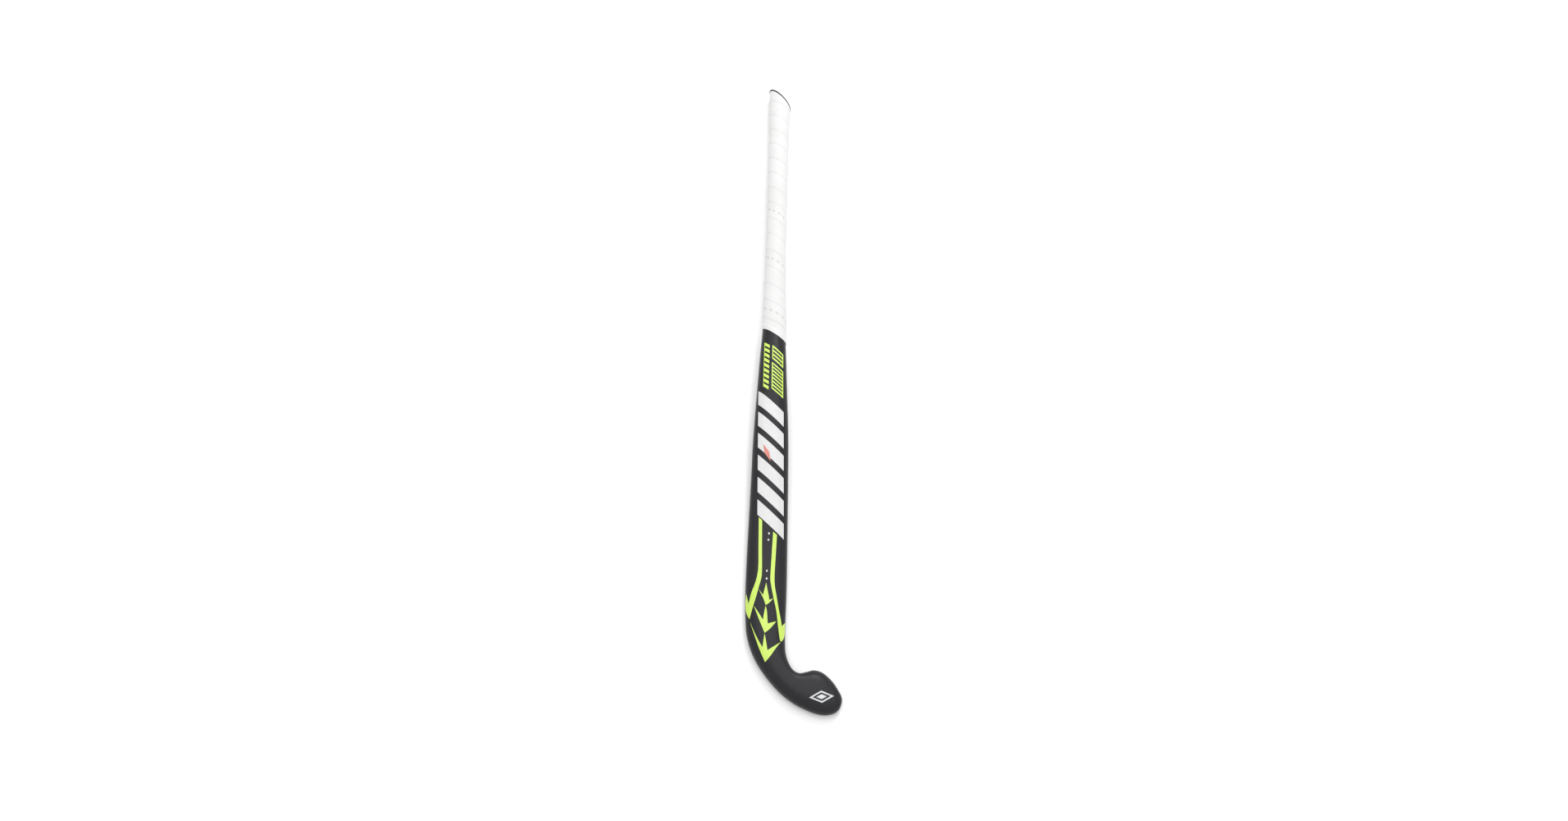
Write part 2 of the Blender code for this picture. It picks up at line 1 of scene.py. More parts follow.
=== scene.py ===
"""Looks of an adult field hockey stick that lies on its flat playing face, rounded back up.

Shapes are drawn in the stick's own frame, in millimetres until they are meshed: X across the shaft
towards the toe, from the middle of the shaft, Y up the shaft from the sole, Z up from the playing
face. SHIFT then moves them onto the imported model.
"""

import math

import bmesh
import bpy
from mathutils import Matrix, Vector


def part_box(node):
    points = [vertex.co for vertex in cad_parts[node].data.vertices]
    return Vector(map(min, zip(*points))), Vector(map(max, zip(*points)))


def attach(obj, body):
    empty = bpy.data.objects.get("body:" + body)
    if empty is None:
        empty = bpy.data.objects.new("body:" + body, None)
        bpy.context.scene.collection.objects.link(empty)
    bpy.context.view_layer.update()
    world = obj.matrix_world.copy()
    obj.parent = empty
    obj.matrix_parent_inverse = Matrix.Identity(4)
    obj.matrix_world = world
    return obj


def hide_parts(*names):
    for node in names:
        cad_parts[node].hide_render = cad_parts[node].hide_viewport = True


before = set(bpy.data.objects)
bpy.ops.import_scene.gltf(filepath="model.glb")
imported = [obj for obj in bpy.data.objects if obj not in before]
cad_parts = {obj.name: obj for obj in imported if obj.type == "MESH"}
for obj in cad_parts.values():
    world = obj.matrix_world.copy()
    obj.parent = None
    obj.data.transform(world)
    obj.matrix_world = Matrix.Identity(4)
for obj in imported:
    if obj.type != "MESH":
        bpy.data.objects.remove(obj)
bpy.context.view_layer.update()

MM = 0.001

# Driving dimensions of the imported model, in millimetres.
SOLE_TO_BUTT = 901.0
BOW = 19.0
BUTT_LIFT = 4.2
FLAT_HEAD = 105.0
BOW_BLEND = 330.0
FACE_CORNER = 6.0
BUTT_SLANT = 1.05
FOOT_SLANT = 0.65
GAP = 0.3
SHELL_WALL = 2.0
GRIP_LIFT = 3.1  # the grip's outer surface above the handle
GRIP_FOOT = 486.0
TAPER_TOP = 580.0  # the grip thins out from here down to its foot
TAPERED = 2.2
CAP_RIM = 2.2
CAP_LIP = 0.3
CAP_RISE = 3.2
CAP_PLUG = 3.0  # how far the cap reaches inward at the bore
CAP_SKIRT_DEPTH, CAP_SKIRT_LIFT = 8.0, 1.15
CAP_EDGE_ROUNDING = 0.2
SQUARE_FROM = SOLE_TO_BUTT - 22.0  # below this height the rings are square to the shaft

# How shapes are built. Rows are counted in SECTIONS.
HOOK_LEAD = 0.9  # the hook's rings start this many rows before its first section
HOLLOW_STOP = 2.3  # rows left solid at the toe
STRAIGHT_GAP, HOOK_GAP, HOLLOW_GAP = 0.2, 0.1, 0.8  # most rows between two rings
HALVINGS = 30  # steps of the search for a height
# Section shape, as a D and as an oval: corner radius and waist as shares, and fullness of the back.
OVAL_CORNER, MOST_CORNER = 0.82, 0.9
D_WAIST, OVAL_WAIST = 0.36, 0.5
D_FULLNESS, OVAL_FULLNESS = 2.4, 2.0
# Edges sharper than this many degrees stay crisp.
SHARP, GRIP_SHARP, BAND_SHARP, CAP_SHARP = 40.0, 25.0, 35.0, 50.0
WELD, CUT_TOLERANCE = 0.001, 0.0005  # millimetres

# Straight shaft: height above the sole, reach to the heel side and to the toe side, depth,
# roundness (0 is a D, 1 is an oval).
SHAFT_SECTIONS = (
    (930, 13.9, 12.8, 26.4, 1.0),
    (900, 14.0, 12.9, 26.4, 1.0),
    (872, 13.6, 12.7, 25.8, 1.0),
    (845, 12.7, 11.9, 24.6, 1.0),
    (780, 12.3, 11.5, 23.8, 1.0),
    (700, 12.0, 11.3, 23.2, 1.0),
    (600, 11.8, 11.4, 23.2, 1.0),
    (555, 12.6, 12.4, 23.6, 0.9),
    (520, 14.3, 14.4, 23.8, 0.8),
    (490, 15.5, 15.8, 23.8, 0.68),
    (460, 17.2, 17.4, 23.6, 0.55),
    (427, 18.9, 18.9, 23.4, 0.42),
    (400, 20.2, 20.2, 23.2, 0.3),
    (370, 21.7, 21.7, 23.0, 0.2),
    (335, 23.1, 22.9, 22.8, 0.12),
    (290, 24.0, 23.5, 22.6, 0.05),
    (240, 25.1, 23.9, 22.4, 0.0),
    (190, 26.2, 24.2, 22.2, 0.0),
    (140, 26.4, 24.2, 22.0, 0.0),
)
# Hook: heel-side edge x and y, toe-side edge x and y, depth, how far the crest leans towards the
# throat, and how far the face side lifts to round off the toe.
HOOK_SECTIONS = (
    (-25.4, 112, 23.7, 114, 21.8, 0.0, 0.0),
    (-23.1, 92, 23.4, 96, 21.6, 0.05, 0.0),
    (-18.0, 75, 23.7, 83, 21.4, 0.1, 0.0),
    (-11.2, 61, 24.6, 72, 21.4, 0.16, 0.0),
    (-2.4, 48, 27.3, 62.6, 21.4, 0.22, 0.0),
    (8.5, 35, 30.8, 55.6, 21.4, 0.25, 0.0),
    (21.0, 23, 35.4, 50.6, 21.4, 0.25, 0.0),
    (35.0, 13.3, 42.0, 48.3, 21.4, 0.22, 0.0),
    (49.0, 6.6, 49.6, 50.0, 21.2, 0.16, 0.0),
    (61.0, 2.5, 58.4, 52.2, 20.8, 0.1, 0.0),
    (71.3, 1.1, 67.6, 50.2, 20.2, 0.05, 0.0),
    (79.8, 2.3, 75.6, 44.6, 19.2, 0.0, 0.0),
    (86.2, 5.6, 82.2, 37.6, 17.2, 0.0, 0.8),
    (89.9, 10.4, 87.2, 30.0, 13.2, 0.0, 2.8),
    (91.5, 15.5, 90.5, 24.0, 7.2, 0.0, 5.6),
    (91.9, 18.4, 91.6, 21.2, 2.6, 0.0, 7.8),
)
# Facets of a section: over the back, round each face corner, and across the face.
FACETS = (72, 12, 8)
HANDLE_FACETS = (56, 24, 8)

# Printed shapes on the back. An outline is a list of runs: a run is a smooth curve through its
# points, and the runs meet at sharp corners.
BAR_COUNT = 6
BAR_TOP = 403.5
BAR_PITCH = 29.1
BAR_DEPTH = 19.6
BAR_DROP = 30.0
BAR_LEFT, BAR_RIGHT = -17.6, 15.2
BAR_DRIFT = 0.021  # how far the bars shift towards the toe per millimetre down the shaft
HEEL_STRIPE = (
    ((-12.2, 235), (-11.5, 199), (-11.0, 174), (-12.3, 161), (-15.0, 151), (-18.7, 141), (-21.6, 128)),
    ((-21.6, 128), (-24.9, 141)),
    ((-24.9, 141), (-25.4, 131), (-24.9, 121.5), (-22.8, 114.6), (-19.8, 109.4)),
    ((-19.8, 109.4), (-18.2, 116), (-15.8, 125.3), (-13.3, 134), (-10.0, 147), (-7.0, 159),
     (-6.5, 170), (-7.3, 199), (-8.0, 231)),
)
TOE_STRIPE = (
    ((6.2, 217), (4.9, 186), (4.2, 166), (4.4, 155), (7.9, 138), (12.1, 120), (14.7, 102),
     (17.2, 86), (18.9, 83.3)),
    ((18.9, 83.3), (21.4, 87), (22.8, 94), (23.0, 106.8)),
    ((23.0, 106.8), (19.2, 102)),
    ((19.2, 102), (17.8, 109.6), (14.9, 123), (12.0, 138), (9.9, 148.7), (9.1, 159),
     (9.3, 172), (9.9, 187), (10.8, 213)),
)
CHEVRONS = (
    (
        ((-0.8, 153.7), (-2.0, 148), (-4.4, 138.2)),
        ((-4.4, 138.2), (-9.9, 145.8)),
        ((-9.9, 145.8), (-3.6, 133.8), (-0.7, 126.1)),
        ((-0.7, 126.1), (3.4, 129), (8.2, 134.4)),
        ((8.2, 134.4), (3.4, 132.5)),
        ((3.4, 132.5), (2.6, 138), (0.9, 145), (-0.8, 153.7)),
    ),
    (
        ((-0.7, 125.6), (-1.8, 120), (-3.6, 108.5)),
        ((-3.6, 108.5), (-9.0, 116.8), (-15.1, 125.4)),
        ((-15.1, 125.4), (-10.6, 114.6), (-5.0, 101.6), (-1.0, 92.8)),
        ((-1.0, 92.8), (5.4, 98.2), (12.4, 107)),
        ((12.4, 107), (2.3, 104)),
        ((2.3, 104), (1.6, 112), (0.9, 119), (-0.7, 125.6)),
    ),
    (
        ((-1.0, 92.3), (-2.1, 85), (-3.1, 76)),
        ((-3.1, 76), (-8.4, 84.4), (-14.2, 95.6), (-19.2, 106.4)),
        ((-19.2, 106.4), (-12.9, 89.6), (-6.8, 74), (0.4, 58.9)),
        ((0.4, 58.9), (6.4, 65.8), (13.0, 75.6), (18.4, 82.8)),
        ((18.4, 82.8), (10.4, 77.4), (2.8, 72.5)),
        ((2.8, 72.5), (1.5, 80), (-1.0, 92.3)),
    ),
)
COMB_TOP, COMB_FOOT = (-11.6, 473.0), (-11.6, 413.0)  # left ends of the first and the last tooth
COMB_TEETH = 9
COMB_REACH, COMB_DROP, TOOTH_DEPTH = 7.2, 5.2, 4.4
COMB_SPINE = 0.6
LADDERS = {
    "ladder_upper": (((-0.8, 468.0), (13.6, 455.5), (13.9, 435.5), (-0.7, 448.0)), 4),
    "ladder_lower": (((-0.9, 443.0), (14.0, 430.5), (14.8, 392.5), (-0.5, 405.0)), 8),
}
LADDER_RAIL = 1.5
RUNG_SHARE = 0.85  # thickness of a rung against the opening beside it
DOTS = ((1.0, 214.5), (0.5, 206.5), (-0.4, 168), (-0.4, 158.5))
DOT_HALF_WIDTH, DOT_HALF_LENGTH = 1.3, 1.7
BADGE_MIDDLE = (67.4, 20.6)
BADGE_RINGS = ((14.6, 6.8), (10.6, 4.9), (6.2, 2.8))  # half length and half height
BADGE_TURN = 5
ACCENT_MIDDLE = (-4.2, 318.2)  # a small red lozenge over the third and fourth bars
ACCENT_HALF_LENGTH, ACCENT_HALF_HEIGHT = 12.5, 3.0
ACCENT_TURN = -66
FILM_FLOAT = 0.1  # how far the film's underside is above the skin
ACCENT_FLOAT = 0.34  # the accent lies on top of the bars
FILM_THICKNESS = 0.05
FILM_CELL_ACROSS, FILM_CELL_ALONG = 1.1, 3.0
FILM_START = 100.0  # height from which a flat film is laid down onto the back
GUIDE_ABOVE_FOOT = 30.0  # the surface that films are laid on starts this far up the grip
LEAST_STEP = 0.02  # outline points nearer than this are one point

# Wound grip tape.
TURN_PITCH = 54.4
BASE_SINK = 0.3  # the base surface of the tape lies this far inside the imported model's
TAPE_THICKNESS = 0.5
WIND_START = SOLE_TO_BUTT + TURN_PITCH + 25  # above the butt, so that the first turn covers it
GRIP_OVER_FOOT = 4.5  # the wound tape ends this far above the foot, under the finishing band
# Faint marks printed along the tape: how many turns at the butt have none, their number in one
# turn, half sizes as shares of the gap between marks and of a strip's width, and how grey they are.
UNMARKED_TURNS = 5.0
MARKS_PER_TURN = 12.0
MARK_HALF_LENGTH, MARK_HALF_WIDTH = 0.34, 0.085
MARK_STRENGTH = 0.4
# A turn from its upper edge downwards: share of the pitch and height above the base surface.
TURN_PROFILE = (
    (0.0, 0.0), (0.004, 0.3), (0.008, 0.4), (0.016, 0.42), (0.04, 0.4), (0.09, 0.33), (0.15, 0.22),
    (0.22, 0.12), (0.3, 0.06), (0.4, 0.03), (0.48, 0.02), (0.488, -0.06), (0.494, -0.19),
    (0.5, -0.22), (0.506, -0.19), (0.512, -0.06), (0.52, 0.02), (0.6, 0.02), (0.75, 0.0),
    (0.9, -0.02), (0.97, -0.05), (0.99, -0.09),
)
# Finishing band: distance above the grip's foot and height over the skin, up the outside and back.
BAND_COVER = [(0.0, 0.3), (0.1, 0.6), (0.5, 0.72), (3.6, 0.8), (4.8, 1.12), (7.4, 1.24), (7.8, 1.1)]
BAND_BACK = [(7.6, 0.98), (4.9, 0.88), (4.2, 0.5), (0.2, 0.26)]

# Dome of the butt cap: its rings, the degrees between them and how full it is.
DOME_RINGS, DOME_STEP, DOME_FULLNESS = 11, 7.6, 0.8

# Camera: degrees up from the horizon and round towards the toe, metres away, and the point on the
# stick, in millimetres, that it looks at.
VIEW_ELEVATION = 66.2
VIEW_AZIMUTH = 1.17
VIEW_DISTANCE = 1.297
VIEW_TARGET = (16.1, 386.4, 15.0)
LENS = 22.54
SENSOR_WIDTH = 36.0

# Stage, in metres: a softbox is its place, its width and its power in watts.
FLOOR_SIZE, FLOOR_DROP = 12.0, 0.0004
WORLD_STRENGTH = 0.7
OVERHEAD_SOFTBOX = ((-0.05, 0.15, 2.4), 2.4, 33.0)
REAR_SOFTBOX = ((0.45, 1.25, 1.55), 0.6, 15.0)


def all_sections():
    """Every section as heel x, heel y, toe x, toe y, depth, roundness, lean, lift."""
    rows = []
    for y, heel_reach, toe_reach, depth, roundness in SHAFT_SECTIONS:
        rows.append((-heel_reach, y, toe_reach, y, depth, roundness, 0.0, 0.0))
    for heel_x, heel_y, toe_x, toe_y, depth, lean, lift in HOOK_SECTIONS:
        rows.append((heel_x, heel_y, toe_x, toe_y, depth, 0.0, lean, lift))
    return [Vector(row) for row in rows]


SECTIONS = all_sections()
LAST = len(SECTIONS) - 1
HOOK_START = len(SHAFT_SECTIONS)


def middle_distance(first, second):
    across = (first[0] + first[2] - second[0] - second[2]) / 2
    along = (first[1] + first[3] - second[1] - second[3]) / 2
    return math.hypot(across, along)


def section(place):
    """The section at a place counted in rows of SECTIONS, on a smooth curve through all of them."""
    start = min(max(int(place), 0), LAST - 1)
    part = place - start
    here, after = SECTIONS[start], SECTIONS[start + 1]
    before = SECTIONS[start - 1] if start > 0 else here * 2 - after
    beyond = SECTIONS[start + 2] if start + 2 <= LAST else after * 2 - here
    span_before = middle_distance(before, here)
    span = middle_distance(here, after)
    span_beyond = middle_distance(after, beyond)
    leave = (here - before) / span_before * span + (after - here) / span * span_before
    leave *= span / (span_before + span)
    arrive = (after - here) / span * span_beyond + (beyond - after) / span_beyond * span
    arrive *= span / (span + span_beyond)
    square, cube = part * part, part * part * part
    return (
        here * (2 * cube - 3 * square + 1)
        + leave * (cube - 2 * square + part)
        + after * (3 * square - 2 * cube)
        + arrive * (cube - square)
    )


def place_at(height):
    """The place on the straight shaft whose section is this far above the sole."""
    low, high = 0.0, float(HOOK_START - 1)
    for _ in range(HALVINGS):
        middle = (low + high) / 2
        if section(middle)[1] > height:
            low = middle
        else:
            high = middle
    return (low + high) / 2


def face_line(height):
    """Height of the face above the floor: a flat head, then a smooth bow up to the butt."""
    share = height / SOLE_TO_BUTT
    blend = min(max((height - FLAT_HEAD) / BOW_BLEND, 0.0), 1.0)
    blend = blend * blend * (3 - 2 * blend)
    return (BOW * 4 * share * (1 - share) + BUTT_LIFT * share) * blend


def profile(half, depth, roundness, lean, facets):
    """Outline of a section as (across, up): back, heel-side corner, face, toe-side corner."""
    back_facets, corner_facets, face_facets = facets
    roundness = min(max(roundness, 0.0), 1.0)
    radius = FACE_CORNER * (1 - roundness) + OVAL_CORNER * half * roundness
    radius = min(radius, MOST_CORNER * half)
    waist = depth * (D_WAIST * (1 - roundness) + OVAL_WAIST * roundness)
    power = 2 / (D_FULLNESS * (1 - roundness) + OVAL_FULLNESS * roundness)
    outline = []
    for step in range(back_facets):
        angle = math.pi * step / back_facets
        across = math.copysign(abs(math.cos(angle)) ** power, math.cos(angle))
        up = math.sin(angle) ** power
        outline.append((half * (across + lean * up * up), waist + (depth - waist) * up))
    for step in range(corner_facets):
        angle = math.pi / 2 * step / corner_facets
        outline.append((radius - half - radius * math.cos(angle), waist * (1 - math.sin(angle))))
    for step in range(face_facets):
        outline.append(((half - radius) * (2 * step / face_facets - 1), 0.0))
    for step in range(corner_facets):
        angle = math.pi / 2 * step / corner_facets
        outline.append((half - radius + radius * math.sin(angle), waist * (1 - math.cos(angle))))
    return outline


def layer_profile(row, layer, facets):
    """The profile of a section grown outwards by layer, or shrunk where layer is negative."""
    half = math.hypot(row[2] - row[0], row[3] - row[1]) / 2
    outline = profile(half + layer, row[4] + 2 * layer, row[5], row[6], facets)
    return [(across, up - layer + max(row[7], 0.0)) for across, up in outline]


def laid(row, across, up):
    """A section's point in the stick's frame, raised onto the bowed face line."""
    heel, toe = Vector(row[0:2]), Vector(row[2:4])
    spot = (heel + toe) / 2 + (toe - heel).normalized() * across
    return Vector((spot.x, spot.y, up + face_line(spot.y)))


def ring(place, layer=0.0, facets=FACETS):
    """One closed ring of points around the stick, square to its run."""
    row = section(place)
    return [laid(row, across, up) for across, up in layer_profile(row, layer, facets)]


def slanted_ring(height, layer=0.0, facets=HANDLE_FACETS):
    """A ring around the handle in a plane that drops towards the toe side, most at the butt."""
    share = (height - GRIP_FOOT) / (SOLE_TO_BUTT - GRIP_FOOT)
    slant = FOOT_SLANT + (BUTT_SLANT - FOOT_SLANT) * share
    points = []
    for index, (across, _) in enumerate(layer_profile(section(place_at(height)), layer, facets)):
        row = section(place_at(height - slant * across))
        points.append(laid(row, *layer_profile(row, layer, facets)[index]))
    return points


def places_between(first, last, most_gap):
    """Evenly spaced places from first to last, at most most_gap rows apart."""
    count = max(1, math.ceil(abs(last - first) / most_gap))
    return [first + (last - first) * step / count for step in range(count + 1)]


def find_shift():
    """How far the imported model's frame is from the stick's own, from the outer skin's box."""
    low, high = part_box("outer_shell")
    head = [point for place in places_between(HOOK_START, LAST, HOOK_GAP) for point in ring(place)]
    toe = max(point.x for point in head) * MM
    sole = min(point.y for point in head) * MM
    return Vector((high.x - toe, low.y - sole, low.z))


def new_object(name, shape, material, sharp=SHARP):
    """A mesh object from a bmesh in the stick's frame, which it scales and moves onto the model."""
    bmesh.ops.scale(shape, vec=(MM, MM, MM), verts=shape.verts)
    bmesh.ops.translate(shape, vec=SHIFT, verts=shape.verts)
    mesh = bpy.data.meshes.new(name)
    shape.to_mesh(mesh)
    shape.free()
    mesh.shade_smooth()
    mesh.set_sharp_from_angle(angle=math.radians(sharp))
    mesh.materials.append(material)
    piece = bpy.data.objects.new(name, mesh)
    bpy.context.scene.collection.objects.link(piece)
    return piece


def stand_for(piece, slot, *nodes):
    """The piece rides with the stick and stands for CAD nodes, which it hides; slot is not used."""
    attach(piece, "root")
    if nodes:
        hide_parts(*nodes)


def lofted(rings, looped=False):
    """A bmesh through rings of equal count: looped joins last to first, otherwise both ends close."""
    shape = bmesh.new()
    rows = [[shape.verts.new(point) for point in points] for points in rings]
    pairs = list(zip(rows, rows[1:]))
    if looped:
        pairs.append((rows[-1], rows[0]))
    for lower, upper in pairs:
        for index in range(len(lower)):
            following = (index + 1) % len(lower)
            shape.faces.new((lower[index], lower[following], upper[following], upper[index]))
    if not looped:
        shape.faces.new(rows[0])
        shape.faces.new(rows[-1])
    bmesh.ops.recalc_face_normals(shape, faces=shape.faces)
    return shape


class Nodes:
    """Short forms for building a node material."""

    def __init__(self, name):
        self.material = bpy.data.materials.new(name)
        self.material.use_nodes = True
        self.tree = self.material.node_tree
        self.shader = self.tree.nodes["Principled BSDF"]
        coordinates = self.tree.nodes.new("ShaderNodeTexCoord")
        self.place = coordinates.outputs["Object"]
        self.wound = coordinates.outputs["UV"]

    def add(self, kind, **settings):
        node = self.tree.nodes.new(kind)
        for key, value in settings.items():
            setattr(node, key, value)
        return node

    def join(self, source, target):
        self.tree.links.new(source, target)

    def set(self, **values):
        for key, value in values.items():
            self.shader.inputs[key.replace("_", " ")].default_value = value

    def stretched(self, scale, place=None):
        """Object coordinates, or other ones, multiplied by (x, y, z)."""
        mapping = self.add("ShaderNodeMapping")
        mapping.inputs["Scale"].default_value = scale
        self.join(place or self.place, mapping.inputs["Vector"])
        return mapping.outputs["Vector"]

    def noise(self, scale, detail=3.0, place=None, roughness=0.5):
        """Soft noise with this many features per metre."""
        node = self.add("ShaderNodeTexNoise")
        node.inputs["Scale"].default_value = scale
        node.inputs["Detail"].default_value = detail
        node.inputs["Roughness"].default_value = roughness
        self.join(place or self.place, node.inputs["Vector"])
        return node.outputs["Fac"]

    def cells(self, scale, feature="F1", place=None):
        node = self.add("ShaderNodeTexVoronoi", feature=feature)
        node.inputs["Scale"].default_value = scale
        self.join(place or self.place, node.inputs["Vector"])
        return node.outputs["Distance"]

    def maths(self, operation, first, second=0.0):
        node = self.add("ShaderNodeMath", operation=operation)
        for socket, value in zip(node.inputs, (first, second)):
            if isinstance(value, (int, float)):
                socket.default_value = value
            else:
                self.join(value, socket)
        return node.outputs["Value"]

    def ranged(self, source, low, high, start=0.0, end=1.0):
        """source between low and high mapped onto start to end."""
        node = self.add("ShaderNodeMapRange")
        values = {"From Min": low, "From Max": high, "To Min": start, "To Max": end}
        for key, value in values.items():
            node.inputs[key].default_value = value
        self.join(source, node.inputs["Value"])
        return node.outputs["Result"]

    def blended(self, share, first, second):
        """A colour between two colours, either of which may be another node's output."""
        node = self.add("ShaderNodeMix", data_type="RGBA")
        self.join(share, node.inputs["Factor"])
        for socket, value in ((node.inputs[6], first), (node.inputs[7], second)):
            if isinstance(value, tuple):
                socket.default_value = (*value, 1.0)
            else:
                self.join(value, socket)
        return node.outputs[2]

    def colour(self, source):
        self.join(source, self.shader.inputs["Base Color"])

    def roughness(self, source):
        self.join(source, self.shader.inputs["Roughness"])

    def bump(self, height, distance, strength=1.0):
        """Raises the surface by height times distance, in metres."""
        node = self.add("ShaderNodeBump")
        node.inputs["Strength"].default_value = strength
        node.inputs["Distance"].default_value = distance
        self.join(height, node.inputs["Height"])
        self.join(node.outputs["Normal"], self.shader.inputs["Normal"])


def composite_material():
    """Dark grey laminate under satin lacquer: fine flecks, a faint lengthwise fibre grain."""
    paint = Nodes("satin_composite")
    fibre = paint.noise(900.0, 4.0, paint.stretched((1.0, 0.08, 1.0)))
    fleck = paint.noise(2600.0, 2.0)
    cloud = paint.noise(22.0, 3.0)
    grain = paint.maths("ADD", paint.maths("MULTIPLY", fibre, 0.5), paint.maths("MULTIPLY", fleck, 0.5))
    tone = paint.blended(paint.ranged(grain, 0.3, 0.7), (0.016, 0.016, 0.018), (0.027, 0.027, 0.03))
    tone = paint.blended(paint.ranged(cloud, 0.3, 0.75, 0.0, 0.25), tone, (0.031, 0.031, 0.034))
    paint.colour(tone)
    paint.roughness(paint.ranged(grain, 0.3, 0.7, 0.3, 0.42))
    paint.set(Specular_IOR_Level=0.17)
    paint.bump(fleck, 0.00002, 0.35)
    return paint.material


def print_material(name, light, dark, roughness):
    """Screen-printed ink under lacquer, with a faint mottle and tiny dark specks from the laminate."""
    paint = Nodes(name)
    mottle = paint.noise(140.0, 4.0)
    speck = paint.cells(900.0)
    tone = paint.blended(paint.ranged(mottle, 0.35, 0.7), light, dark)
    speckled = paint.ranged(speck, 0.06, 0.1, 0.22, 0.0)
    paint.colour(paint.blended(speckled, tone, tuple(0.35 * channel for channel in dark)))
    paint.roughness(paint.ranged(mottle, 0.3, 0.7, roughness - 0.05, roughness + 0.07))
    paint.set(Specular_IOR_Level=0.4, Coat_Weight=0.25, Coat_Roughness=0.2)
    paint.bump(paint.noise(1400.0, 2.0), 0.00001, 0.3)
    return paint.material


def grip_material():
    """White synthetic chamois: fine leather grain, streaks along the tape, and painted shade greying
    the grooves at the lap edges and the pressed seam.
    """
    paint = Nodes("white_grip_tape")
    pores = paint.cells(1500.0, "DISTANCE_TO_EDGE")
    creases = paint.noise(420.0, 5.0, roughness=0.6)
    stain = paint.noise(34.0, 4.0)
    streaks = paint.noise(1.0, 4.0, paint.stretched((3.0, 26.0, 1.0), paint.wound), 0.65)
    split = paint.add("ShaderNodeSeparateXYZ")
    paint.join(paint.wound, split.inputs["Vector"])
    across = paint.maths("FRACT", split.outputs["Y"])
    from_lap = paint.maths("MINIMUM", across, paint.maths("SUBTRACT", 1.0, across))
    from_seam = paint.maths("ABSOLUTE", paint.maths("SUBTRACT", across, 0.5))
    # Painted shade: grey where the tape dips at each lap edge and along the pressed seam, standing in
    # for the shade in those grooves.
    painted_lap_shade = paint.ranged(from_lap, 0.004, 0.05, 0.5, 0.0)
    painted_seam_shade = paint.ranged(from_seam, 0.002, 0.03, 0.35, 0.0)
    grain = paint.maths("ADD", paint.ranged(pores, 0.0, 0.25), paint.maths("MULTIPLY", creases, 0.8))
    tone = paint.blended(paint.ranged(stain, 0.35, 0.7), (0.68, 0.68, 0.677), (0.645, 0.645, 0.64))
    tone = paint.blended(paint.ranged(streaks, 0.5, 0.75, 0.0, 0.5), tone, (0.58, 0.58, 0.577))
    # The painted shade of the lap and seam grooves is mixed into the tape's tone here.
    tone = paint.blended(paint.maths("ADD", painted_lap_shade, painted_seam_shade), tone, (0.5, 0.5, 0.5))
    tone = paint.blended(tape_print(paint, split), tone, (0.3, 0.3, 0.3))
    paint.colour(paint.blended(paint.ranged(pores, 0.0, 0.06, 0.3, 0.0), tone, (0.56, 0.56, 0.556)))
    paint.roughness(paint.ranged(creases, 0.3, 0.7, 0.56, 0.72))
    paint.set(Specular_IOR_Level=0.3, Sheen_Weight=0.1, Sheen_Roughness=0.5)
    height = paint.maths("ADD", grain, paint.maths("MULTIPLY", streaks, 1.5))
    paint.bump(height, 0.00006, 0.6)
    return paint.material


def tape_print(paint, split):
    """Strength of the faint lozenges printed in rows along every third strip of the lower turns."""
    strips = paint.maths("MULTIPLY", split.outputs["Y"], 2.0)
    third = paint.maths("FRACT", paint.maths("DIVIDE", paint.maths("FLOOR", strips), 3.0))
    off = paint.maths("ABSOLUTE", paint.maths("SUBTRACT", third, 2 / 3))
    chosen = paint.ranged(off, 0.1, 0.12, 1.0, 0.0)
    printed = paint.maths("GREATER_THAN", split.outputs["Y"], UNMARKED_TURNS)
    cells = paint.maths("FRACT", paint.maths("MULTIPLY", split.outputs["X"], MARKS_PER_TURN))
    along = paint.maths("ABSOLUTE", paint.maths("SUBTRACT", cells, 0.5))
    middle = paint.maths("SUBTRACT", paint.maths("FRACT", strips), 0.5)
    across = paint.maths("ABSOLUTE", middle)
    away = paint.maths(
        "ADD",
        paint.maths("DIVIDE", along, MARK_HALF_LENGTH),
        paint.maths("DIVIDE", across, MARK_HALF_WIDTH),
    )
    shape = paint.ranged(away, 0.85, 1.1, MARK_STRENGTH, 0.0)
    return paint.maths("MULTIPLY", printed, paint.maths("MULTIPLY", chosen, shape))


def tape_material():
    """Smooth white vinyl tape, slightly stretched and creased along its length."""
    paint = Nodes("white_finishing_tape")
    crease = paint.noise(260.0, 3.0, paint.stretched((0.4, 1.6, 0.4)))
    paint.colour(paint.blended(crease, (0.68, 0.68, 0.677), (0.65, 0.65, 0.645)))
    paint.roughness(paint.ranged(crease, 0.3, 0.7, 0.34, 0.46))
    paint.bump(crease, 0.00008, 0.35)
    return paint.material


def rubber_material():
    """Matt black moulded rubber with a fine spark-eroded texture."""
    paint = Nodes("black_rubber")
    grain = paint.noise(2200.0, 3.0)
    paint.colour(paint.blended(grain, (0.008, 0.008, 0.009), (0.022, 0.022, 0.023)))
    paint.roughness(paint.ranged(grain, 0.3, 0.7, 0.5, 0.66))
    paint.bump(grain, 0.00004, 0.5)
    return paint.material


def weave_material(name, light, dark, threads, roughness):
    """A plain weave of resin-soaked yarns, this many a metre."""
    paint = Nodes(name)
    angle = math.pi * threads
    split = paint.add("ShaderNodeSeparateXYZ")
    paint.join(paint.place, split.inputs["Vector"])
    warp = paint.maths("SINE", paint.maths("MULTIPLY", split.outputs["X"], angle))
    weft = paint.maths("SINE", paint.maths("MULTIPLY", split.outputs["Y"], angle))
    over = paint.maths("MULTIPLY", warp, weft)
    tone = paint.blended(paint.ranged(over, -0.4, 0.4), light, dark)
    paint.colour(paint.blended(paint.ranged(paint.noise(300.0), 0.3, 0.7, 0.0, 0.3), tone, dark))
    paint.set(Roughness=roughness)
    paint.bump(over, 0.0002, 0.6)
    return paint.material


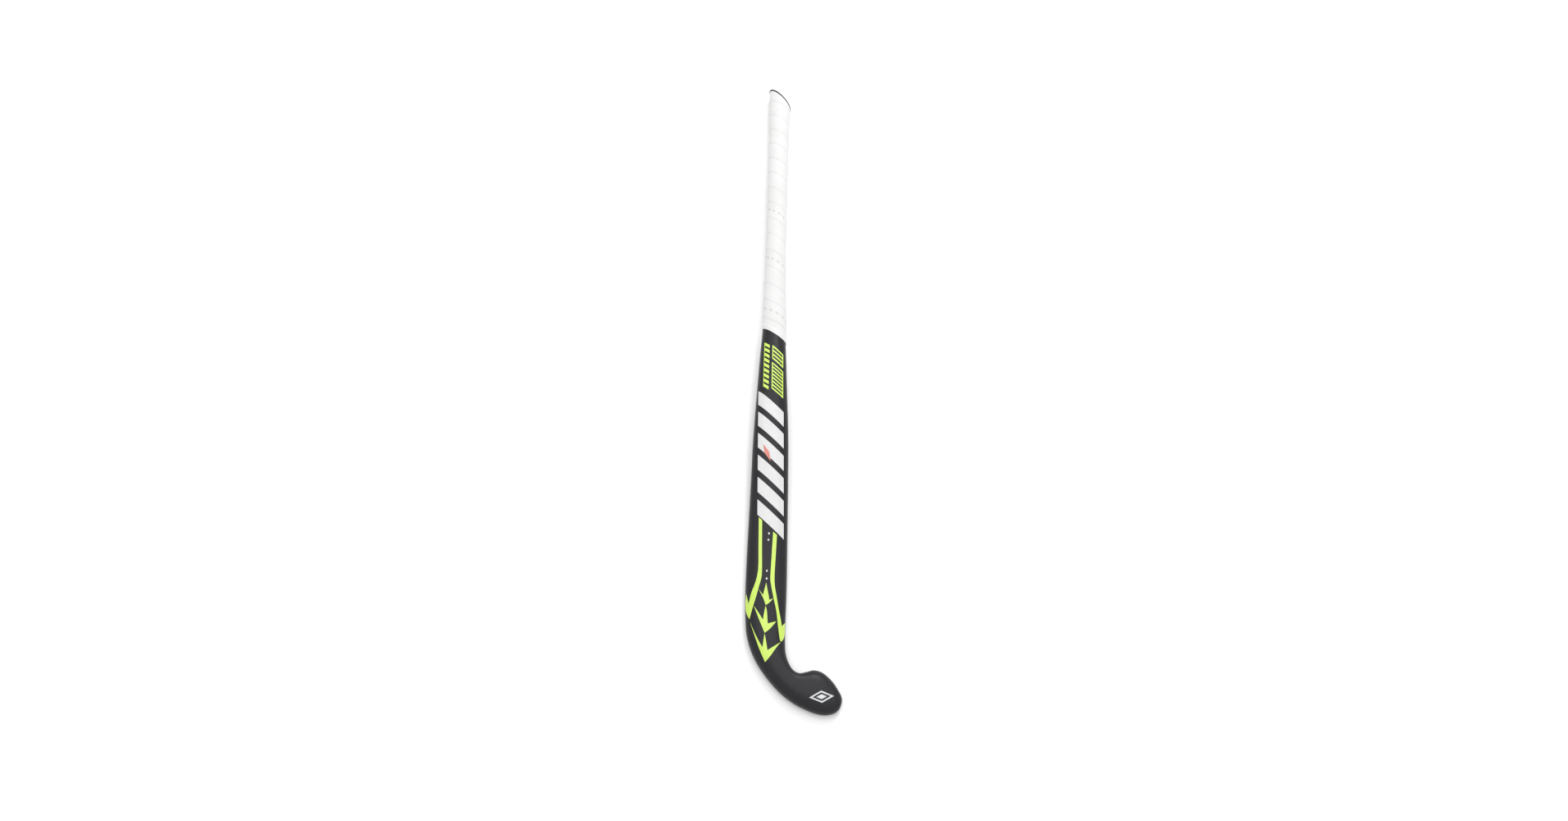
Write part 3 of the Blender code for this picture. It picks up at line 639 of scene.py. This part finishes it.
def foam_material(name, light, dark, cell_scale):
    """Foam with fine closed cells."""
    paint = Nodes(name)
    cell = paint.cells(cell_scale)
    paint.colour(paint.blended(paint.ranged(cell, 0.0, 0.6), dark, light))
    paint.set(Roughness=0.9)
    paint.bump(cell, 0.0003, 0.6)
    return paint.material


def build_shell(material):
    """The moulded outer skin: closed round the toe, open at the slanted butt cut, hollow inside."""
    straight = places_between(place_at(SQUARE_FROM), HOOK_START - 1, STRAIGHT_GAP)
    hook = places_between(HOOK_START - HOOK_LEAD, LAST, HOOK_GAP)
    outside = [slanted_ring(SOLE_TO_BUTT, 0.0, FACETS)]
    outside += [ring(place) for place in straight + hook]
    hollow = places_between(place_at(SQUARE_FROM), LAST - HOLLOW_STOP, HOLLOW_GAP)
    inside = [slanted_ring(SOLE_TO_BUTT, -SHELL_WALL, FACETS)]
    inside += [ring(place, -SHELL_WALL) for place in hollow]
    shell = new_object("outer_skin", lofted(inside[::-1] + outside), material)
    stand_for(shell, "composite", "outer_shell")


def skin_guide():
    """The fine back surface alone, onto which the printed film is laid."""
    shape = bmesh.new()
    rows = []
    for place in places_between(place_at(GRIP_FOOT + GUIDE_ABOVE_FOOT), LAST, HOOK_GAP):
        points = ring(place)[: FACETS[0] + 1]
        rows.append([shape.verts.new(point) for point in points])
    for lower, upper in zip(rows, rows[1:]):
        for index in range(len(lower) - 1):
            shape.faces.new((lower[index], lower[index + 1], upper[index + 1], upper[index]))
    bmesh.ops.recalc_face_normals(shape, faces=shape.faces)
    guide = new_object("skin_guide", shape, None)
    guide.hide_render = True
    guide.hide_viewport = True
    return guide


def smooth_run(points, steps=5):
    """Points along a smooth curve through the given ones."""
    if len(points) < 3:
        return [Vector(point) for point in points]
    spots = [Vector(point) for point in points]
    ends = [spots[0] * 2 - spots[1]] + spots + [spots[-1] * 2 - spots[-2]]
    path = []
    for before, here, after, beyond in zip(ends, ends[1:], ends[2:], ends[3:]):
        for step in range(steps):
            share = step / steps
            path.append(
                0.5
                * (
                    2 * here
                    + (after - before) * share
                    + (2 * before - 5 * here + 4 * after - beyond) * share**2
                    + (3 * here - before - 3 * after + beyond) * share**3
                )
            )
    return path + [spots[-1]]


def drawn(runs):
    """A closed outline from runs of points, without the repeated points where runs meet."""
    outline = []
    for run in runs:
        for spot in smooth_run(run):
            if not outline or (spot - outline[-1]).length > LEAST_STEP:
                outline.append(spot)
    if (outline[0] - outline[-1]).length <= LEAST_STEP:
        outline.pop()
    return outline


def flat_sheet(outlines):
    """A flat bmesh filled between closed outlines: outer edges, and holes inside them."""
    curve = bpy.data.curves.new("outline", "CURVE")
    curve.dimensions = "2D"
    curve.fill_mode = "BOTH"
    for outline in outlines:
        spline = curve.splines.new("POLY")
        spline.points.add(len(outline) - 1)
        spline.use_cyclic_u = True
        for point, spot in zip(spline.points, outline):
            point.co = (spot[0], spot[1], 0.0, 1.0)
    holder = bpy.data.objects.new("outline", curve)
    bpy.context.scene.collection.objects.link(holder)
    graph = bpy.context.evaluated_depsgraph_get()
    mesh = bpy.data.meshes.new_from_object(holder.evaluated_get(graph))
    shape = bmesh.new()
    shape.from_mesh(mesh)
    bpy.data.objects.remove(holder, do_unlink=True)
    bpy.data.meshes.remove(mesh)
    bmesh.ops.remove_doubles(shape, verts=shape.verts, dist=WELD)
    return shape


def crease(shape, across, along):
    """Cuts a flat sheet into cells so that it can bend."""
    for axis, cell in ((0, across), (1, along)):
        spots = [vertex.co[axis] for vertex in shape.verts]
        direction = Vector((1 - axis, axis, 0))
        for step in range(math.floor(min(spots) / cell) + 1, math.ceil(max(spots) / cell)):
            bmesh.ops.bisect_plane(
                shape,
                geom=shape.verts[:] + shape.edges[:] + shape.faces[:],
                dist=CUT_TOLERANCE,
                plane_co=direction * (step * cell),
                plane_no=direction,
            )
    bmesh.ops.triangulate(shape, faces=shape.faces)


def film(name, outlines, material, slot, nodes=(), float_over=FILM_FLOAT):
    """Printed film of one piece: outlines filled, creased, laid on the skin and given a thickness."""
    shape = flat_sheet(outlines)
    crease(shape, FILM_CELL_ACROSS, FILM_CELL_ALONG)
    bmesh.ops.translate(shape, verts=shape.verts, vec=(0.0, 0.0, FILM_START))
    bmesh.ops.recalc_face_normals(shape, faces=shape.faces)
    if shape.faces[:][0].normal.z < 0:
        bmesh.ops.reverse_faces(shape, faces=shape.faces)
    piece = new_object(name, shape, material)
    wrap = piece.modifiers.new("lay_on_skin", "SHRINKWRAP")
    wrap.target = GUIDE
    wrap.wrap_method = "PROJECT"
    wrap.wrap_mode = "ABOVE_SURFACE"
    wrap.use_project_z = True
    wrap.use_negative_direction = True
    wrap.use_positive_direction = False
    wrap.offset = float_over * MM
    thicken = piece.modifiers.new("thickness", "SOLIDIFY")
    thicken.thickness = FILM_THICKNESS * MM
    thicken.offset = 1.0
    settle(piece)
    stand_for(piece, slot, *nodes)


def settle(piece, sharp=SHARP):
    """Applies the modifiers of a piece to its mesh, and keeps the edges they made crisp."""
    graph = bpy.context.evaluated_depsgraph_get()
    graph.update()
    mesh = bpy.data.meshes.new_from_object(piece.evaluated_get(graph))
    piece.modifiers.clear()
    old = piece.data
    piece.data = mesh
    mesh.name = piece.name
    mesh.set_sharp_from_angle(angle=math.radians(sharp))
    bpy.data.meshes.remove(old)


def lozenge(middle, half_length, half_height, turn=0.0):
    corners = ((half_length, 0), (0, half_height), (-half_length, 0), (0, -half_height))
    cosine, sine = math.cos(math.radians(turn)), math.sin(math.radians(turn))
    return [
        (middle[0] + x * cosine - y * sine, middle[1] + x * sine + y * cosine) for x, y in corners
    ]


def comb():
    """Outline of a narrow column of slanted teeth joined by a thin spine on their left."""
    first, last = Vector(COMB_TOP), Vector(COMB_FOOT)
    reach, drop = Vector((COMB_REACH, -COMB_DROP)), Vector((0.0, -TOOTH_DEPTH))
    spine = reach * (COMB_SPINE / COMB_REACH)
    outline = [first]
    for index in range(COMB_TEETH):
        left = first.lerp(last, index / (COMB_TEETH - 1))
        outline += [left + spine] if index else []
        outline += [left + reach, left + reach + drop]
        outline += [left + spine + drop] if index < COMB_TEETH - 1 else []
    return [*outline, last + drop]


def ladder(corners, rungs):
    """Outlines of a slanted frame with evenly spaced rungs: the outer edge, then each opening."""
    top_left, top_right, low_right, low_left = [Vector(corner) for corner in corners]
    outlines = [corners]
    edge = LADDER_RAIL / (top_right - top_left).length
    openings = rungs - 1
    whole = openings + RUNG_SHARE * rungs
    for index in range(openings):
        start = (index + RUNG_SHARE * (index + 1)) / whole
        end = start + 1 / whole
        opening = []
        for share, side in ((start, edge), (start, 1 - edge), (end, 1 - edge), (end, edge)):
            left = top_left.lerp(low_left, share)
            right = top_right.lerp(low_right, share)
            opening.append(left.lerp(right, side))
        outlines.append(opening)
    return outlines


def build_bars(material):
    """Six plain slanted white bars across the back."""
    for index in range(BAR_COUNT):
        top = BAR_TOP - index * BAR_PITCH
        outline = []
        for side, drop in (
            (BAR_LEFT, 0.0),
            (BAR_RIGHT, BAR_DROP),
            (BAR_RIGHT, BAR_DROP + BAR_DEPTH),
            (BAR_LEFT, BAR_DEPTH),
        ):
            height = top - drop
            outline.append((side + BAR_DRIFT * (BAR_TOP - height), height))
        name = f"slanted_bar_{index + 1}"
        film(f"white_bar_{index + 1}", [outline], material, "white_print", [name])


def build_film(lime, white, silver, red):
    """Every printed shape on the back of the stick."""
    build_bars(white)
    film("lime_stripe_heel_side", [drawn(HEEL_STRIPE)], lime, "lime_print", ["stripe_heel_side"])
    film("lime_stripe_toe_side", [drawn(TOE_STRIPE)], lime, "lime_print", ["stripe_toe_side"])
    for index, runs in enumerate(CHEVRONS):
        node = f"chevron_{index + 1}"
        film(f"lime_{node}", [drawn(runs)], lime, "lime_print", [node])
    film("lime_comb", [comb()], lime, "lime_print", ["comb"])
    for node, (corners, rungs) in LADDERS.items():
        film(f"lime_{node}", ladder(corners, rungs), lime, "lime_print", [node])
    dots = [lozenge(middle, DOT_HALF_WIDTH, DOT_HALF_LENGTH) for middle in DOTS]
    film("white_dots", dots, white, "white_print")
    badge = [lozenge(BADGE_MIDDLE, *size, BADGE_TURN) for size in BADGE_RINGS]
    film("toe_lozenge", badge, silver, "silver_print", ["toe_badge"])
    accent = [lozenge(ACCENT_MIDDLE, ACCENT_HALF_LENGTH, ACCENT_HALF_HEIGHT, ACCENT_TURN)]
    film("small_red_accent", accent, red, "red_print", ["red_accent"], float_over=ACCENT_FLOAT)


def grip_lift(height):
    """How far the grip's outer surface is above the handle: full thickness, then a thin foot."""
    thinned = min(max((TAPER_TOP - height) / (TAPER_TOP - GRIP_FOOT), 0.0), 1.0)
    return GRIP_LIFT - TAPERED * thinned**2


def arc_shares(points):
    """How far round a closed ring each of its points is, from 0 to 1."""
    lengths = [0.0]
    for here, after in zip(points, points[1:] + points[:1]):
        lengths.append(lengths[-1] + (after - here).length)
    return [length / lengths[-1] for length in lengths[:-1]]


def grip_point(index, height, rise):
    """A point of the wound tape: a facet of the section at a height, and its rise over the base."""
    cut = section(place_at(min(height, SHAFT_SECTIONS[0][0])))
    across = layer_profile(cut, 0.0, HANDLE_FACETS)[index][0]
    lift = grip_lift(height + FOOT_SLANT * across)
    base = lift - BASE_SINK + rise * lift / GRIP_LIFT
    spot = laid(cut, *layer_profile(cut, base, HANDLE_FACETS)[index])
    spot.y = height
    return spot


def build_grip(material):
    """Tape wound down the handle in a spiral, each turn lapping the last, with a pressed seam."""
    shares = arc_shares(ring(place_at(TAPER_TOP), GRIP_LIFT, HANDLE_FACETS)) + [1.0]
    turns = math.ceil((WIND_START - GRIP_FOOT) / TURN_PITCH) + 1
    shape = bmesh.new()
    wound = shape.loops.layers.uv.new("wound")
    rows = []
    for step in range(turns * len(TURN_PROFILE)):
        turn, part = divmod(step, len(TURN_PROFILE))
        share, rise = TURN_PROFILE[part]
        height = WIND_START - (turn + share) * TURN_PITCH
        row = []
        for index, around in enumerate(shares):
            spot = grip_point(index % (len(shares) - 1), height + around * TURN_PITCH, rise)
            row.append((shape.verts.new(spot), (turn + around, turn + share)))
        rows.append(row)
    for upper, lower in zip(rows, rows[1:]):
        for index in range(len(shares) - 1):
            corners = (upper[index], upper[index + 1], lower[index + 1], lower[index])
            face = shape.faces.new([vertex for vertex, _ in corners])
            for loop, (_, place) in zip(face.loops, corners):
                loop[wound].uv = place
    trim(shape, SOLE_TO_BUTT, BUTT_SLANT, upper_side=True)
    trim(shape, GRIP_FOOT + GRIP_OVER_FOOT, FOOT_SLANT, upper_side=False)
    bmesh.ops.remove_doubles(shape, verts=shape.verts, dist=WELD)
    loose = [vertex for vertex in shape.verts if not vertex.link_faces]
    bmesh.ops.delete(shape, geom=loose, context="VERTS")
    bmesh.ops.recalc_face_normals(shape, faces=shape.faces)
    piece = new_object("wound_grip_tape", shape, material, GRIP_SHARP)
    thicken = piece.modifiers.new("tape_thickness", "SOLIDIFY")
    thicken.thickness = TAPE_THICKNESS * MM
    thicken.offset = -1.0
    settle(piece, GRIP_SHARP)
    stand_for(piece, "grip", "grip_wrap")


def trim(shape, height, slant, upper_side):
    """Cuts a handle piece off along the slanted plane at this height."""
    cut = section(place_at(height))
    bmesh.ops.bisect_plane(
        shape,
        geom=shape.verts[:] + shape.edges[:] + shape.faces[:],
        dist=CUT_TOLERANCE,
        plane_co=((cut[0] + cut[2]) / 2, height, 0.0),
        plane_no=(slant, 1.0, 0.0),
        clear_outer=upper_side,
        clear_inner=not upper_side,
    )


def build_tape(material):
    """The narrow band over the grip's lower edge: flat on the skin, then up over the grip."""
    rings = [slanted_ring(GRIP_FOOT + along, lift) for along, lift in BAND_COVER + BAND_BACK]
    piece = new_object("finishing_band", lofted(rings, looped=True), material, BAND_SHARP)
    stand_for(piece, "tape", "finishing_tape")


def build_cap(material):
    """The domed rubber cap with its rim proud of the grip's end and a skirt round the handle."""
    seat = SOLE_TO_BUTT + GAP
    rim = GRIP_LIFT + CAP_LIP
    skirt = [(0.0, -CAP_PLUG), (0.0, GAP), (-CAP_SKIRT_DEPTH, GAP), (-CAP_SKIRT_DEPTH, CAP_SKIRT_LIFT)]
    step = [(0.2, CAP_SKIRT_LIFT), (0.2, rim - 0.4), (0.3, rim - 0.12), (0.6, rim)]
    edge = [(CAP_RIM - 0.5, rim), (CAP_RIM, rim - CAP_EDGE_ROUNDING)]
    rings = [slanted_ring(seat + along, lift) for along, lift in skirt + step + edge]
    base = slanted_ring(seat + CAP_RIM, rim - CAP_EDGE_ROUNDING)
    centre = sum(base, Vector()) / len(base)
    for level in range(1, DOME_RINGS + 1):
        angle = math.radians(level * DOME_STEP)
        shrink, rise = math.cos(angle) ** DOME_FULLNESS, CAP_RISE * math.sin(angle)
        rings.append(
            [centre + (point - centre) * shrink + Vector((0.0, rise, 0.0)) for point in base]
        )
    piece = new_object("rubber_cap", lofted(rings), material, CAP_SHARP)
    stand_for(piece, "cap_rubber", "butt_cap")


def dress_hidden_nodes():
    """Materials of the pieces inside the stick, which the CAD model's own meshes show."""
    carbon = weave_material("carbon_tube", (0.05, 0.05, 0.055), (0.012, 0.012, 0.014), 500.0, 0.4)
    aramid = weave_material("aramid_sleeve", (0.72, 0.56, 0.16), (0.45, 0.33, 0.08), 700.0, 0.65)
    foam = foam_material("core_foam", (0.75, 0.7, 0.55), (0.5, 0.44, 0.3), 1800.0)
    cushion = foam_material("cushion_strip", (0.62, 0.62, 0.62), (0.4, 0.4, 0.41), 2400.0)
    finishes = {
        "head_sleeve": aramid,
        "head_core": foam,
        "chamber_tube_heel_side": carbon,
        "chamber_tube_toe_side": carbon,
        "handle_plug_heel_side": foam,
        "handle_plug_toe_side": foam,
        "grip_underlay": cushion,
    }
    for name, material in finishes.items():
        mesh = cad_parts[name].data
        mesh.materials.clear()
        mesh.materials.append(material)


def build_stage():
    """A plain near-white floor, soft light from above, and the camera at the photograph's angle."""
    bpy.ops.mesh.primitive_plane_add(size=FLOOR_SIZE, location=(0.0, 0.0, -FLOOR_DROP))
    floor = bpy.context.object
    floor.name = "pale_floor"
    paint = Nodes("pale_floor")
    paint.colour(paint.blended(paint.noise(3.0), (0.97, 0.97, 0.97), (0.95, 0.95, 0.95)))
    paint.set(Roughness=0.9, Specular_IOR_Level=0.1)
    floor.data.materials.append(paint.material)

    world = bpy.data.worlds.new("soft_white")
    world.use_nodes = True
    world.node_tree.nodes["Background"].inputs["Color"].default_value = (1.0, 1.0, 1.0, 1.0)
    world.node_tree.nodes["Background"].inputs["Strength"].default_value = WORLD_STRENGTH
    bpy.context.scene.world = world
    add_softbox("overhead_softbox", *OVERHEAD_SOFTBOX)
    add_softbox("rear_softbox", *REAR_SOFTBOX)

    camera = bpy.data.cameras.new("camera")
    camera.lens = LENS
    camera.sensor_width = SENSOR_WIDTH
    holder = bpy.data.objects.new("camera", camera)
    bpy.context.scene.collection.objects.link(holder)
    elevation, azimuth = math.radians(VIEW_ELEVATION), math.radians(VIEW_AZIMUTH)
    back = Vector(
        (
            math.sin(azimuth) * math.cos(elevation),
            -math.cos(azimuth) * math.cos(elevation),
            math.sin(elevation),
        )
    )
    holder.location = Vector(VIEW_TARGET) * MM + SHIFT + back * VIEW_DISTANCE
    holder.rotation_euler = (-back).to_track_quat("-Z", "Y").to_euler()
    bpy.context.scene.camera = holder
    bpy.context.scene.view_settings.view_transform = "Standard"


def add_softbox(name, location, size, energy):
    """A square area light that faces the stick."""
    light = bpy.data.lights.new(name, "AREA")
    light.shape = "SQUARE"
    light.size = size
    light.energy = energy
    holder = bpy.data.objects.new(name, light)
    bpy.context.scene.collection.objects.link(holder)
    holder.location = location
    aim = -Vector(location)
    holder.rotation_euler = aim.to_track_quat("-Z", "Y").to_euler()


SHIFT = find_shift()
GUIDE = skin_guide()
build_shell(composite_material())
build_film(
    print_material("lime_ink", (0.54, 0.73, 0.12), (0.5, 0.69, 0.105), 0.45),
    print_material("white_ink", (0.62, 0.62, 0.62), (0.59, 0.59, 0.595), 0.45),
    print_material("silver_ink", (0.64, 0.65, 0.67), (0.52, 0.53, 0.55), 0.36),
    print_material("red_ink", (0.6, 0.19, 0.15), (0.55, 0.17, 0.135), 0.45),
)
build_grip(grip_material())
build_tape(tape_material())
build_cap(rubber_material())
dress_hidden_nodes()
bpy.data.objects.remove(GUIDE, do_unlink=True)
build_stage()
